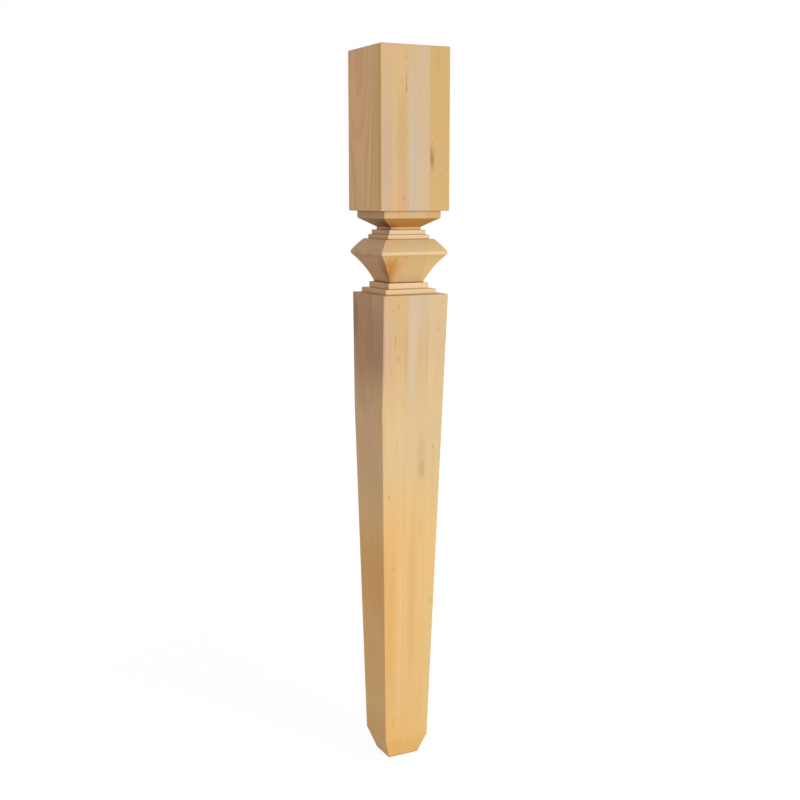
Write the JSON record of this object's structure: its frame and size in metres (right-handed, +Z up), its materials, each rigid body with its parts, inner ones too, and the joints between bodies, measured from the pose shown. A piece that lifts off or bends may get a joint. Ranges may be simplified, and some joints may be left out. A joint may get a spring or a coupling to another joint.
{
  "type": "tapered square post",
  "caption": "Tapered square wooden post with a plain square block at the top, a square turning below it and a long shaft that tapers to a cut-back foot.",
  "frame": {"origin": "centre of the block's axis on the floor, under the foot", "axes": "+Z up along the post, from the foot to the top of the block; -Y out of the front face; +X to the right as seen from the front"},
  "size_m": [0.09, 0.09, 0.8763],
  "materials": {
    "pale_hardwood": "sanded, unfinished",
    "cream_hardwood": "sanded, unfinished",
    "golden_hardwood": "sanded, unfinished"
  },
  "bodies": {
    "root": {"left_board": "pale_hardwood", "middle_board": "cream_hardwood", "right_board": "golden_hardwood"}
  },
  "joints": []
}
